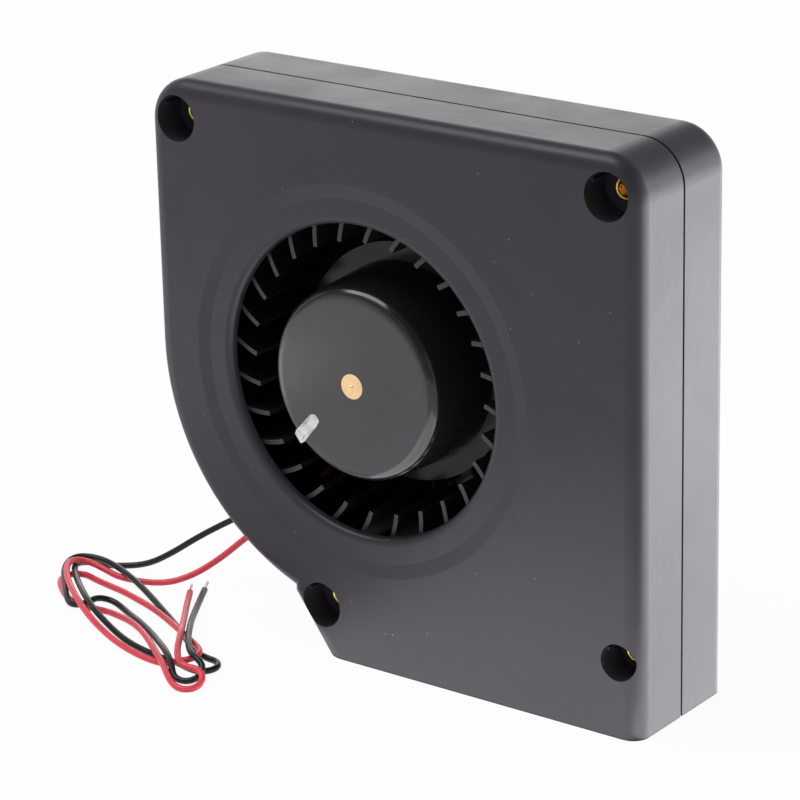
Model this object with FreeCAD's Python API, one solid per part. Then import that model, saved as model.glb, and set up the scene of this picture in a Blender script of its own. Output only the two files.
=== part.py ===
import FreeCAD, Part
import math
import os

# A centrifugal DC blower with an external-rotor motor. Sizes are millimetres.
# X runs to the right across the front face, Y from the front to the back, Z up from the outlet rim.
# "Depth" is the distance behind the front face, and the rotor axis runs along it.

# Housing, outside
BODY_WIDTH = 120.0
BODY_HEIGHT = 118.8
BODY_DEPTH = 31.4
FRONT_HALF_DEPTH = 15.7
SEAM_GAP = 0.6
CORNER_R = 9.0
FRONT_EDGE_R = 3.6
BACK_EDGE_R = 3.0
SIDE_WALL = 2.2
FRONT_WALL = 2.4
BACK_WALL = 2.4
SCROLL_R = 52.5
AXIS_Z = 62.0

# Locating lip on the rear half, which closes the seam from inside
LIP_THICKNESS = 0.9
LIP_HEIGHT = 1.6
LIP_PLAY = 0.1

# Scroll passage and outlet duct
TONGUE_GAP = 3.5
TONGUE_NOSE_R = 1.6
SCROLL_WALL = 1.8
POCKET_MARGIN = 20.0

# Corner holes: counterbores from both faces, with a brass eyelet between their floors
HOLE_PITCH_TOP = 105.0
TOP_HOLE_DROP = 8.0
TONGUE_HOLE_DX = -11.0
TONGUE_HOLE_Z = 11.2
OUTLET_HOLE_INSET = 5.0
OUTLET_HOLE_Z = 16.2
COUNTERBORE_R = 4.9
OUTLET_COUNTERBORE_R = 3.9
COUNTERBORE_DEPTH = 7.4
BOSS_WALL = 1.6
BOSS_SKIN = 0.6
BOSS_RIB_WIDTH = 0.7
BOSS_RIB_HEIGHT = 0.5
EYELET_BORE_R = 1.7
EYELET_WALL = 0.4
EYELET_ROLL_R = 0.36
EYELET_HOLE_PLAY = 0.05

# Corner of the housing beside the outlet, which wraps round the tongue hole
TONGUE_SKIN = 1.3
TONGUE_SIDE_WALL = 3.4
TONGUE_SLOPE_DEG = 54.7

# Inlet
INLET_R = 33.0
INLET_LIP_R = 1.7
DISH_R = 41.5
DISH_DEPTH = 0.35
DISH_SLOPE = 3.0

# Label seat on the back
LABEL_R = 24.0
LABEL_DEPTH = 0.4

# Impeller
HUB_PROUD = 1.8
HUB_R = 20.5
HUB_EDGE_R = 2.8
HUB_DRAFT = 1.1
HUB_SKIN = 1.4
LEDGE_DEPTH = 16.7
LEDGE_R = 25.5
SKIRT_THICKNESS = 1.6
IMPELLER_R = 41.4
BACK_PLATE_DEPTH = 25.0
BACK_PLATE_THICKNESS = 1.5
BACK_PLATE_INNER_R = 30.5
BLADE_COUNT = 28
BLADE_INNER_R = 28.8
BLADE_FRONT_DEPTH = 3.6
BLADE_THICKNESS = 1.0
BLADE_INNER_LEAN_DEG = 19.0
BLADE_OUTER_LEAN_DEG = 45.0
SHROUD_THICKNESS = 1.4
SHROUD_LENGTH = 2.0

# Rotor cup, magnet, bush and shaft
YOKE_R = 19.0
YOKE_THICKNESS = 1.2
YOKE_END_DEPTH = 21.5
MAGNET_THICKNESS = 2.1
MAGNET_START = 7.0
MAGNET_LENGTH = 13.5
BUSH_R = 2.65
BUSH_FLANGE_R = 4.6
BUSH_FLANGE_THICKNESS = 1.3
BUSH_END_DEPTH = 5.4
BUSH_CAP = 1.2
BUSH_CENTRE_R = 0.35
SHAFT_R = 1.5
SHAFT_END_GAP = 1.0
SHAFT_CHAMFER = 0.3

# Stator
AIR_GAP = 0.5
CORE_START = 9.5
CORE_LENGTH = 9.0
POLE_COUNT = 4
POLE_SHOE_DEG = 76.0
POLE_SHOE_THICKNESS = 2.2
POLE_WIDTH = 4.6
CORE_RING = 2.0
INSULATOR_THICKNESS = 0.8
INSULATOR_SIDE = 0.6
FLANGE_WIDTH = 11.2
FLANGE_THICKNESS = 0.9
COIL_THICKNESS = 1.9
COIL_INNER_R = 8.2
COIL_OUTER_R = 12.0
COIL_CORNER_R = 1.2

# Bearing tube and ball bearings (3 x 8 x 4 mm)
TUBE_WALL = 1.0
TUBE_START = 7.5
TUBE_SHOULDER = 0.8
SOCKET_WALL = 2.0
SOCKET_LENGTH = 5.0
BEARING_R = 4.0
BEARING_LENGTH = 4.0
FRONT_BEARING_START = 8.5
REAR_BEARING_START = 22.0
BALL_COUNT = 7
BALL_R = 0.794
BALL_PITCH_R = 2.75
BALL_PLAY = 0.03
POCKET_PLAY = 0.06
INNER_RACE_R = 2.15
OUTER_RACE_R = 3.35
CAGE_THICKNESS = 0.5
CAGE_LENGTH = 2.4
SHIELD_THICKNESS = 0.15
SHIELD_INSET = 0.1
SHIELD_GAP = 0.15
SPRING_WIRE_R = 0.2
SPRING_TURNS = 2.5
SPRING_POINTS_PER_TURN = 10
SPRING_PLAY = 0.15
SHIM_THICKNESS = 0.3
SHIM_R = 2.6
CLIP_THICKNESS = 0.5
CLIP_R = 3.0
CLIP_MOUTH = 1.8
GROOVE_DEPTH = 0.35
GROOVE_PLAY = 0.05

# Driver board
BOARD_R = 16.8
BOARD_THICKNESS = 1.0
BOARD_DEPTH = 25.2
BOARD_HOLE_PLAY = 0.3
POST_COUNT = 3
POST_RING_R = 12.0
POST_R = 1.2
CHIP_SIZE = (4.0, 3.2, 1.2)
CHIP_RING_R = 12.5
CHIP_LEG_PITCH = 1.27
SENSOR_SIZE = (3.0, 1.2, 2.4)
SENSOR_RING_R = 15.2
CAPACITOR_R = 1.6
CAPACITOR_HEIGHT = 2.6
CAPACITOR_RING_R = 12.4
RESISTOR_SIZE = (1.6, 0.8, 0.5)
RESISTOR_RING_R = 10.4
WINDING_PIN_R = 0.3
WINDING_PIN_RING_R = 9.2
JOINT_R = 0.9

# Leads
LEAD_R = 0.7
STRAND_R = 0.3
EXIT_DEG = 227.0
EXIT_DEPTH = 28.2
LEAD_SPACING = 1.9
EXIT_PLAY = 0.15
LEAD_RIB_WIDTH = 0.8
LEAD_RIB_HEIGHT = 1.6
JOINT_RING_R = 14.0
LEAD_STRAIGHT = 5.0
TAIL_STRIPPED = 4.5
HANK_HEIGHT = 5.2
HANK_EDGE_R = 1.5

# Where things lie, worked out from the sizes above
AXIS_X = SCROLL_R - BODY_WIDTH / 2
FRONT_Y = (HUB_PROUD - BODY_DEPTH) / 2
LEFT = -BODY_WIDTH / 2
RIGHT = BODY_WIDTH / 2
INSIDE_BACK = BODY_DEPTH - BACK_WALL
TOP_HOLE_Z = BODY_HEIGHT - TOP_HOLE_DROP
TONGUE_HOLE_X = AXIS_X + TONGUE_HOLE_DX
OUTLET_HOLE_X = RIGHT - OUTLET_HOLE_INSET
TONGUE_SLOPE = math.radians(TONGUE_SLOPE_DEG)
DUCT_LEFT = TONGUE_HOLE_X + COUNTERBORE_R + BOSS_WALL
TUBE_R = BEARING_R + TUBE_WALL
SOCKET_R = TUBE_R + SOCKET_WALL
MAGNET_INNER_R = YOKE_R - YOKE_THICKNESS - MAGNET_THICKNESS
CORE_R = MAGNET_INNER_R - AIR_GAP
CORE_HUB_R = TUBE_R + CORE_RING
SHAFT_START = BUSH_CAP - HUB_PROUD
SHAFT_END = INSIDE_BACK - SHAFT_END_GAP
SHIM_START = REAR_BEARING_START + BEARING_LENGTH
CLIP_START = SHIM_START + SHIM_THICKNESS + GROOVE_PLAY
EXIT_ANGLE = math.radians(EXIT_DEG)
OUTWARD = (math.cos(EXIT_ANGLE), math.sin(EXIT_ANGLE))
ALONG = (-OUTWARD[1], OUTWARD[0])

HOLES = (
    (-HOLE_PITCH_TOP / 2, TOP_HOLE_Z, COUNTERBORE_R),
    (HOLE_PITCH_TOP / 2, TOP_HOLE_Z, COUNTERBORE_R),
    (TONGUE_HOLE_X, TONGUE_HOLE_Z, COUNTERBORE_R),
    (OUTLET_HOLE_X, OUTLET_HOLE_Z, OUTLET_COUNTERBORE_R),
)

# Routes of the leads outside the housing, from the exit slot down to the table and along it.
# The first two points of each follow the slot, and the rest are chosen by hand.
BLACK_ROUTE = (
    (-54.4, 11.4, 17.0),
    (-61.0, 7.9, 13.3),
    (-67.6, 4.3, 9.1),
    (-73.4, 1.7, 4.7),
    (-79.2, -0.4, 1.3),
    (-86.1, -4.2, 0.8),
)
RED_ROUTE = (
    (-51.0, 10.2, 15.2),
    (-55.7, 6.4, 10.9),
    (-60.0, 2.3, 6.2),
    (-64.6, -2.2, 2.6),
    (-69.7, -6.2, 0.8),
    (-76.8, -9.2, 0.8),
)
RED_TAIL = ((-50.6, -24.2, 2.4), (-54.4, -17.9, 1.8), (-58.0, -12.2, 0.9), (-61.9, -6.0, 0.8))
BLACK_TAIL = ((-45.6, -26.3, 2.4), (-50.7, -18.6, 1.8), (-55.8, -10.6, 0.9), (-60.1, -3.2, 0.8))

# The hank's outer shape seen from above, along its length and across it, from its left end.
HANK_END = (-97.5, -5.3)
HANK_TURN_DEG = -29.5
HANK_OUTLINE = (
    ((1.6, 5.9), (8.0, 8.4)),
    (58.0, 8.8),
    ((68.5, 6.9), (77.4, 2.9)),
    ((79.3, -0.6), (76.0, -3.8)),
    (62.0, -5.4),
    ((40.0, -8.8), (16.0, -6.8)),
    ((4.4, -3.8), (0.0, 0.5)),
)


def space(x, depth, z):
    return FreeCAD.Vector(x, FRONT_Y + depth, z)


def box(x0, x1, depth0, depth1, z0, z1):
    return Part.makeBox(x1 - x0, depth1 - depth0, z1 - z0, space(x0, depth0, z0))


def cylinder(radius, depth0, depth1, x=AXIS_X, z=AXIS_Z):
    return Part.makeCylinder(radius, depth1 - depth0, space(x, depth0, z), FreeCAD.Vector(0, 1, 0))


def ring(outer, inner, depth0, depth1, x=AXIS_X, z=AXIS_Z):
    return cylinder(outer, depth0, depth1, x, z).cut(cylinder(inner, depth0, depth1, x, z))


def profile(start, steps, place):
    # A step is the end of a straight line, or the middle and the end of an arc
    edges = []
    here = start
    for step in steps + (start,):
        if isinstance(step[0], tuple):
            middle, end = step
            edges.append(Part.Arc(place(here), place(middle), place(end)).toShape())
            here = end
        elif step != here:
            edges.append(Part.makeLine(place(here), place(step)))
            here = step
    return Part.Face(Part.Wire(edges))


def turned(start, *steps, x=AXIS_X, z=AXIS_Z):
    # A profile in (radius, depth), turned about an axis along the depth
    face = profile(start, steps, lambda p: space(x + p[0], p[1], z))
    return face.revolve(space(x, 0, z), FreeCAD.Vector(0, 1, 0), 360)


def slab(start, *steps, depth0, depth1):
    # A profile in (x, z), pushed along the depth
    face = profile(start, steps, lambda p: space(p[0], depth0, p[1]))
    return face.extrude(FreeCAD.Vector(0, depth1 - depth0, 0))


def about_axis(shape, degrees):
    turned_shape = shape.copy()
    turned_shape.rotate(space(AXIS_X, 0, AXIS_Z), FreeCAD.Vector(0, -1, 0), degrees)
    return turned_shape


def polar(radius, degrees, x=AXIS_X, z=AXIS_Z):
    angle = math.radians(degrees)
    return (x + radius * math.cos(angle), z + radius * math.sin(angle))


def edges_along_depth(shape, x, z):
    return [e for e in shape.Edges if all(math.hypot(v.X - x, v.Z - z) < 1e-3 for v in e.Vertexes)]


def rim_edges(shape, depth):
    # Edges in the plane of one face, without the outlet's bottom edge
    y = FRONT_Y + depth
    flat = [e for e in shape.Edges if abs(e.BoundBox.YMin - y) < 0.01 and abs(e.BoundBox.YMax - y) < 0.01]
    return [e for e in flat if e.BoundBox.ZMax > 0.01]


# Housing

def outline_block(bottom=0.0):
    slope = math.tan(TONGUE_SLOPE)
    reach = COUNTERBORE_R + TONGUE_SKIN
    touch_x = TONGUE_HOLE_X - reach * math.sin(TONGUE_SLOPE)
    touch_z = TONGUE_HOLE_Z - reach * math.cos(TONGUE_SLOPE)
    side_x = TONGUE_HOLE_X - COUNTERBORE_R - TONGUE_SIDE_WALL
    foot = (touch_x + (touch_z - bottom) / slope, bottom)
    bend = (side_x, touch_z + (touch_x - side_x) * slope)
    upper = box(LEFT, RIGHT, 0, BODY_DEPTH, AXIS_Z, BODY_HEIGHT)
    lower_left = box(LEFT - SCROLL_R, AXIS_X, 0, BODY_DEPTH, AXIS_Z - SCROLL_R, AXIS_Z)
    scroll = cylinder(SCROLL_R, 0, BODY_DEPTH).common(lower_left)
    outlet = slab(
        foot, bend, (side_x, AXIS_Z), (RIGHT, AXIS_Z), (RIGHT, bottom), depth0=0, depth1=BODY_DEPTH
    )
    block = upper.fuse([scroll, outlet]).removeSplitter().Solids[0]
    corners = edges_along_depth(block, LEFT, BODY_HEIGHT) + edges_along_depth(block, RIGHT, BODY_HEIGHT)
    return block.makeFillet(CORNER_R, corners)


def inset_slab(block, inset, depth0, depth1):
    y = FRONT_Y
    face = [f for f in block.Faces if abs(f.BoundBox.YMin - y) < 0.01 and abs(f.BoundBox.YMax - y) < 0.01][0]
    inner = face.makeOffset2D(-inset)
    inner.translate(FreeCAD.Vector(0, depth0, 0))
    return inner.extrude(FreeCAD.Vector(0, depth1 - depth0, 0))


def passage(extra, depth0, depth1):
    # The scroll widens evenly from the tongue round to the right wall, where the duct takes over
    start_r = IMPELLER_R + TONGUE_GAP
    tongue_x = DUCT_LEFT - AXIS_X
    tongue_deg = 360 - math.degrees(math.acos(tongue_x / start_r))
    end_r = RIGHT - SIDE_WALL - AXIS_X
    growth = math.log(end_r / start_r) / tongue_deg

    def wall(degrees):
        return polar(start_r * math.exp(growth * (tongue_deg - degrees)) + extra, degrees)

    middle_deg = (tongue_deg + 180) / 2
    scroll = slab(
        (AXIS_X, AXIS_Z),
        wall(tongue_deg),
        (wall(middle_deg), wall(180)),
        (wall(135), wall(90)),
        (wall(45), wall(0)),
        depth0=depth0,
        depth1=depth1,
    )
    duct = box(DUCT_LEFT - extra, RIGHT - SIDE_WALL + extra, depth0, depth1, -BODY_HEIGHT / 4, AXIS_Z)
    return scroll.fuse(duct)


def corner_pockets(inside, depth0, depth1):
    left = box(LEFT, AXIS_X - POCKET_MARGIN, depth0, depth1, AXIS_Z + POCKET_MARGIN, BODY_HEIGHT)
    right = box(AXIS_X + POCKET_MARGIN, RIGHT, depth0, depth1, AXIS_Z + POCKET_MARGIN, BODY_HEIGHT)
    return inside.common(left.fuse(right)).cut(passage(SCROLL_WALL, depth0, depth1))


def bosses(block, depth0, depth1):
    # The posts around the holes stay behind a thin skin, so the seam runs on past them
    posts = [cylinder(r + BOSS_WALL, depth0, depth1, x, z) for x, z, r in HOLES]
    return posts[0].fuse(posts[1:]).common(inset_slab(block, BOSS_SKIN, depth0, depth1))


def hole_tools(mouth, floor, far):
    # Counterbore with two moulding ribs left standing in it, then the hole for the eyelet
    tools = []
    for x, z, r in HOLES:
        bore = cylinder(r, min(mouth, floor), max(mouth, floor), x, z)
        for degrees in (100, 150):
            rib = box(
                x + r - BOSS_RIB_HEIGHT, x + r + BOSS_RIB_HEIGHT, min(mouth, floor), max(mouth, floor),
                z - BOSS_RIB_WIDTH / 2, z + BOSS_RIB_WIDTH / 2,
            )
            inset = rib.common(box(LEFT * 2, RIGHT * 2, BOSS_WALL, BODY_DEPTH - BOSS_WALL, 0, BODY_HEIGHT))
            inset.rotate(space(x, 0, z), FreeCAD.Vector(0, -1, 0), degrees)
            bore = bore.cut(inset)
        tools.append(bore)
        eyelet_hole_r = EYELET_BORE_R + EYELET_WALL + EYELET_HOLE_PLAY
        tools.append(cylinder(eyelet_hole_r, min(floor, far), max(floor, far), x, z))
    return tools


def rounded_block():
    block = outline_block()
    block = block.makeFillet(FRONT_EDGE_R, rim_edges(block, 0))
    return block.makeFillet(BACK_EDGE_R, rim_edges(block, BODY_DEPTH))


def seam_lip(block, play, depth0, depth1):
    outer = SIDE_WALL - LIP_THICKNESS - play
    lip = inset_slab(block, outer, depth0, depth1).cut(inset_slab(block, SIDE_WALL + play, depth0, depth1))
    return lip.cut(passage(0, depth0, depth1))


def hollow(half, depth0, depth1, block):
    inside = inset_slab(block, SIDE_WALL, depth0, depth1)
    down = box(DUCT_LEFT, RIGHT - SIDE_WALL, depth0, depth1, -1, AXIS_Z)
    air = passage(0, depth0, depth1).common(inside.fuse(down))
    half = half.cut(corner_pockets(inside, depth0, depth1))
    half = half.cut(air)
    nose = edges_along_depth(half, DUCT_LEFT, AXIS_Z - tongue_drop())
    return half.makeFillet(TONGUE_NOSE_R, nose)


def tongue_drop():
    return math.sqrt((IMPELLER_R + TONGUE_GAP) ** 2 - (DUCT_LEFT - AXIS_X) ** 2)


def split_shell(half, block, edge_r, wall0, wall1, inner0, inner1):
    # Each half is one moulding, handed over as its face and its side walls, which meet inside its edge
    air = passage(0, inner0, inner1).common(inset_slab(block, SIDE_WALL, inner0, inner1))
    air = air.cut(bosses(block, inner0, inner1))
    face_space = inset_slab(block, edge_r, wall0, wall1).fuse(air)
    face = max(half.common(face_space).removeSplitter().Solids, key=lambda solid: solid.Volume)
    return face, half.cut(face).removeSplitter()


def front_shell(block, rounded):
    seam = FRONT_HALF_DEPTH - SEAM_GAP / 2
    half = rounded.common(box(LEFT, RIGHT, 0, seam, 0, BODY_HEIGHT))
    half = hollow(half, FRONT_WALL, seam + 1, block)
    boss = bosses(block, FRONT_WALL, FRONT_HALF_DEPTH)
    rebate = seam_lip(block, LIP_PLAY, FRONT_HALF_DEPTH - LIP_HEIGHT - LIP_PLAY, FRONT_HALF_DEPTH + 1)
    half = half.cut(rebate.cut(boss)).fuse(boss)
    half = half.cut(hole_tools(-1, COUNTERBORE_DEPTH, FRONT_HALF_DEPTH + 1))
    floor = DISH_DEPTH
    throat = turned(
        (0, -1),
        (DISH_R, -1),
        (DISH_R, 0),
        (DISH_R - DISH_SLOPE, floor),
        (INLET_R + INLET_LIP_R, floor),
        (
            (INLET_R + INLET_LIP_R * (1 - math.sqrt(0.5)), floor + INLET_LIP_R * (1 - math.sqrt(0.5))),
            (INLET_R, floor + INLET_LIP_R),
        ),
        (INLET_R, FRONT_WALL + 1),
        (0, FRONT_WALL + 1),
    )
    return half.cut(throat).removeSplitter()


def rear_shell(block, rounded):
    seam = FRONT_HALF_DEPTH + SEAM_GAP / 2
    half = rounded.common(box(LEFT, RIGHT, seam, BODY_DEPTH, 0, BODY_HEIGHT))
    half = hollow(half, seam - 1, INSIDE_BACK, block)
    lip = seam_lip(block, 0, FRONT_HALF_DEPTH - LIP_HEIGHT, seam)
    boss = bosses(block, FRONT_HALF_DEPTH, INSIDE_BACK)
    front_boss = bosses(block, 0, FRONT_HALF_DEPTH)
    socket = cylinder(SOCKET_R, INSIDE_BACK - SOCKET_LENGTH, INSIDE_BACK)
    posts = []
    for number in range(POST_COUNT):
        x, z = polar(POST_RING_R, 90 + number * 360 / POST_COUNT)
        posts.append(cylinder(POST_R, BOARD_DEPTH + BOARD_THICKNESS, INSIDE_BACK, x, z))
    half = half.fuse([lip.cut(front_boss), boss, socket] + posts + lead_ribs())
    half = half.cut(cylinder(TUBE_R, 0, INSIDE_BACK))
    half = half.cut(hole_tools(BODY_DEPTH + 1, BODY_DEPTH - COUNTERBORE_DEPTH, FRONT_HALF_DEPTH - 1))
    half = half.cut(cylinder(LABEL_R, BODY_DEPTH - LABEL_DEPTH, BODY_DEPTH + 1))
    return half.cut(exit_slot()).removeSplitter()


def beside_exit(distance, aside, z_shift=0.0):
    # A place in the exit's own directions: outwards from the rotor axis, and to the side of that line
    x = AXIS_X + distance * OUTWARD[0] + aside * ALONG[0]
    z = AXIS_Z + distance * OUTWARD[1] + aside * ALONG[1] + z_shift
    return (x, z)


def strip(start, end, aside0, aside1, depth0, depth1):
    return slab(
        beside_exit(start, aside0),
        beside_exit(end, aside0),
        beside_exit(end, aside1),
        beside_exit(start, aside1),
        depth0=depth0,
        depth1=depth1,
    )


def lead_ribs():
    # Low ribs on the back wall that keep the two leads straight under the impeller
    half_width = LEAD_SPACING / 2 + LEAD_R + EXIT_PLAY
    start = BOARD_R + 2
    end = SCROLL_R - 2 * SIDE_WALL
    top = INSIDE_BACK - LEAD_RIB_HEIGHT
    left = strip(start, end, -half_width - LEAD_RIB_WIDTH, -half_width, top, INSIDE_BACK)
    right = strip(start, end, half_width, half_width + LEAD_RIB_WIDTH, top, INSIDE_BACK)
    return [left, right]


def exit_slot():
    half_width = LEAD_SPACING / 2 + LEAD_R + EXIT_PLAY
    reach = LEAD_R + EXIT_PLAY
    inner = SCROLL_R - 4 * SIDE_WALL
    end = SCROLL_R + 2 * SIDE_WALL
    return strip(inner, end, -half_width, half_width, EXIT_DEPTH - reach, EXIT_DEPTH + reach)


def eyelet(x, z):
    # A tube with a rolled rim on each counterbore floor
    bore = EYELET_BORE_R
    outer = bore + EYELET_WALL
    rim = outer + EYELET_ROLL_R
    front = COUNTERBORE_DEPTH
    back = BODY_DEPTH - COUNTERBORE_DEPTH
    crown = 2 * EYELET_ROLL_R
    middle = (bore + rim) / 2
    return turned(
        (bore, front),
        ((middle, front - crown), (rim, front)),
        (outer, front),
        (outer, back),
        (rim, back),
        ((middle, back + crown), (bore, back)),
        x=x,
        z=z,
    )


# Rotor

def blade(degrees):
    # One arc whose lean from the radius grows from the inner to the outer end, the way the rotor turns
    inner_lean = math.radians(BLADE_INNER_LEAN_DEG)
    outer_lean = math.radians(BLADE_OUTER_LEAN_DEG)
    outer_r = IMPELLER_R - SHROUD_THICKNESS / 4
    spread = outer_r * math.sin(outer_lean) - BLADE_INNER_R * math.sin(inner_lean)
    bend_r = (outer_r ** 2 - BLADE_INNER_R ** 2) / (2 * spread)
    start = polar(BLADE_INNER_R, degrees)
    heading = math.radians(degrees) - inner_lean
    centre = (start[0] + bend_r * math.sin(heading), start[1] - bend_r * math.cos(heading))
    offset = math.hypot(centre[0] - AXIS_X, centre[1] - AXIS_Z)

    def gap_angle(radius):
        return math.acos((offset ** 2 + bend_r ** 2 - radius ** 2) / (2 * offset * bend_r))

    swing = gap_angle(outer_r) - gap_angle(BLADE_INNER_R)
    first = math.degrees(math.atan2(start[1] - centre[1], start[0] - centre[0]))

    def at(radius, share):
        return polar(radius, first - share * math.degrees(swing), centre[0], centre[1])

    wide = bend_r + BLADE_THICKNESS / 2
    narrow = bend_r - BLADE_THICKNESS / 2
    return slab(
        at(wide, 0),
        (at(wide, 0.5), at(wide, 1)),
        at(narrow, 1),
        (at(narrow, 0.5), at(narrow, 0)),
        depth0=BLADE_FRONT_DEPTH,
        depth1=BACK_PLATE_DEPTH,
    )


def impeller_shroud():
    # The ring that ties the blades' front corners together
    end = BLADE_FRONT_DEPTH + SHROUD_LENGTH
    return ring(IMPELLER_R, IMPELLER_R - SHROUD_THICKNESS, BLADE_FRONT_DEPTH, end)


def impeller_blades(hub, shroud):
    # Moulded in one with the hub's back plate and the shroud, and handed over as solids that meet them
    blades = [blade(90 + number * 360 / BLADE_COUNT) for number in range(BLADE_COUNT)]
    return Part.makeCompound([one.cut([hub, shroud]) for one in blades])


def impeller_hub():
    face = -HUB_PROUD
    inside = face + HUB_SKIN
    base_r = HUB_R + HUB_DRAFT
    corner = HUB_EDGE_R * (1 - math.sqrt(0.5))
    plate_back = BACK_PLATE_DEPTH + BACK_PLATE_THICKNESS
    flare_middle = (
        LEDGE_R + (BACK_PLATE_INNER_R - LEDGE_R) * 0.29,
        LEDGE_DEPTH + (BACK_PLATE_DEPTH - LEDGE_DEPTH) * 0.6,
    )
    return turned(
        (BUSH_R, face),
        (HUB_R - HUB_EDGE_R, face),
        ((HUB_R - corner, face + corner), (HUB_R, face + HUB_EDGE_R)),
        (base_r, LEDGE_DEPTH),
        (LEDGE_R, LEDGE_DEPTH),
        (flare_middle, (BACK_PLATE_INNER_R, BACK_PLATE_DEPTH)),
        (IMPELLER_R, BACK_PLATE_DEPTH),
        (IMPELLER_R, plate_back),
        (BACK_PLATE_INNER_R - SKIRT_THICKNESS / 2, plate_back),
        (
            (flare_middle[0] - SKIRT_THICKNESS * 0.9, flare_middle[1] + SKIRT_THICKNESS * 0.4),
            (LEDGE_R - SKIRT_THICKNESS, LEDGE_DEPTH + SKIRT_THICKNESS),
        ),
        (base_r, LEDGE_DEPTH + SKIRT_THICKNESS),
        (base_r, YOKE_END_DEPTH - HUB_SKIN),
        (YOKE_R, YOKE_END_DEPTH - HUB_SKIN),
        (YOKE_R, inside),
        (BUSH_R, inside),
    )


def rotor_yoke():
    front = HUB_SKIN - HUB_PROUD
    cup = cylinder(YOKE_R, front, YOKE_END_DEPTH)
    cup = cup.cut(cylinder(YOKE_R - YOKE_THICKNESS, front + YOKE_THICKNESS, YOKE_END_DEPTH))
    return cup.cut(cylinder(BUSH_R, front, front + YOKE_THICKNESS))


def hub_bush():
    face = -HUB_PROUD
    flange = HUB_SKIN - HUB_PROUD + YOKE_THICKNESS
    body = cylinder(BUSH_R, face, BUSH_END_DEPTH)
    body = body.fuse(cylinder(BUSH_FLANGE_R, flange, flange + BUSH_FLANGE_THICKNESS))
    body = body.cut(cylinder(SHAFT_R, SHAFT_START, BUSH_END_DEPTH))
    dimple = turned((0, face), (BUSH_CENTRE_R, face), (0, face + BUSH_CENTRE_R))
    return body.cut(dimple)


def shaft():
    rod = cylinder(SHAFT_R, SHAFT_START, SHAFT_END)
    end = [e for e in rod.Edges if e.BoundBox.YMin > FRONT_Y + SHAFT_END - 0.01]
    rod = rod.makeChamfer(SHAFT_CHAMFER, end)
    groove_end = CLIP_START + CLIP_THICKNESS + GROOVE_PLAY
    groove = ring(SHAFT_R + 1, SHAFT_R - GROOVE_DEPTH, CLIP_START - GROOVE_PLAY, groove_end)
    return rod.cut(groove)


def preload_spring():
    # From the bush end to the front bearing's inner race, as short runs joined by arcs
    start = BUSH_END_DEPTH + SPRING_WIRE_R
    length = FRONT_BEARING_START - BUSH_END_DEPTH - 2 * SPRING_WIRE_R
    half_step = math.pi / SPRING_POINTS_PER_TURN
    corner_r = (SHAFT_R + SPRING_PLAY + SPRING_WIRE_R) / math.cos(half_step)
    count = round(SPRING_TURNS * SPRING_POINTS_PER_TURN)
    points = []
    for number in range(count + 1):
        x, z = polar(corner_r, math.degrees(2 * half_step * number))
        points.append((x, FRONT_Y + start + length * number / count, z))
    return tube(points, SPRING_WIRE_R, "preload_spring")


def retaining_clip():
    clip = ring(CLIP_R, SHAFT_R - GROOVE_DEPTH, CLIP_START, CLIP_START + CLIP_THICKNESS)
    mouth = box(
        AXIS_X - CLIP_MOUTH / 2, AXIS_X + CLIP_MOUTH / 2, CLIP_START, CLIP_START + CLIP_THICKNESS,
        AXIS_Z - 2 * CLIP_R, AXIS_Z,
    )
    return clip.cut(mouth)


# Bearings

def ball_track(start, radius):
    return turned_ring(start + BEARING_LENGTH / 2, BALL_PITCH_R, radius)


def turned_ring(depth, pitch_r, radius):
    return Part.makeTorus(pitch_r, radius, space(AXIS_X, depth, AXIS_Z), FreeCAD.Vector(0, 1, 0))


def balls(start, radius):
    places = [polar(BALL_PITCH_R, 90 + number * 360 / BALL_COUNT) for number in range(BALL_COUNT)]
    return [Part.makeSphere(radius, space(x, start + BEARING_LENGTH / 2, z)) for x, z in places]


def pockets(start):
    # Round holes through the cage, one for each ball
    holes = []
    for number in range(BALL_COUNT):
        x, z = polar(1.0, 90 + number * 360 / BALL_COUNT)
        way = FreeCAD.Vector(x - AXIS_X, 0, z - AXIS_Z)
        centre = space(AXIS_X, start + BEARING_LENGTH / 2, AXIS_Z)
        holes.append(Part.makeCylinder(BALL_R + POCKET_PLAY, BEARING_R, centre, way))
    return holes


def bearing(name, start):
    end = start + BEARING_LENGTH
    track = ball_track(start, BALL_R + BALL_PLAY)
    outer = ring(BEARING_R, OUTER_RACE_R, start, end).cut(track)
    inner = ring(INNER_RACE_R, SHAFT_R, start, end).cut(track)
    middle = start + BEARING_LENGTH / 2
    cage = ring(
        BALL_PITCH_R + CAGE_THICKNESS / 2,
        BALL_PITCH_R - CAGE_THICKNESS / 2,
        middle - CAGE_LENGTH / 2,
        middle + CAGE_LENGTH / 2,
    ).cut(pockets(start))
    shields = [
        ring(OUTER_RACE_R, INNER_RACE_R + SHIELD_GAP, depth, depth + SHIELD_THICKNESS)
        for depth in (start + SHIELD_INSET, end - SHIELD_INSET - SHIELD_THICKNESS)
    ]
    save(name + "_bearing_outer_race", outer)
    save(name + "_bearing_inner_race", inner)
    save(name + "_bearing_balls", Part.makeCompound(balls(start, BALL_R)))
    save(name + "_bearing_cage", cage)
    save(name + "_bearing_shields", Part.makeCompound(shields))


def bearing_tube():
    tube = ring(TUBE_R, BEARING_R - TUBE_SHOULDER, TUBE_START, INSIDE_BACK)
    tube = tube.cut(cylinder(BEARING_R, TUBE_START, FRONT_BEARING_START + BEARING_LENGTH))
    return tube.cut(cylinder(BEARING_R, REAR_BEARING_START, INSIDE_BACK))


# Stator

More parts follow.
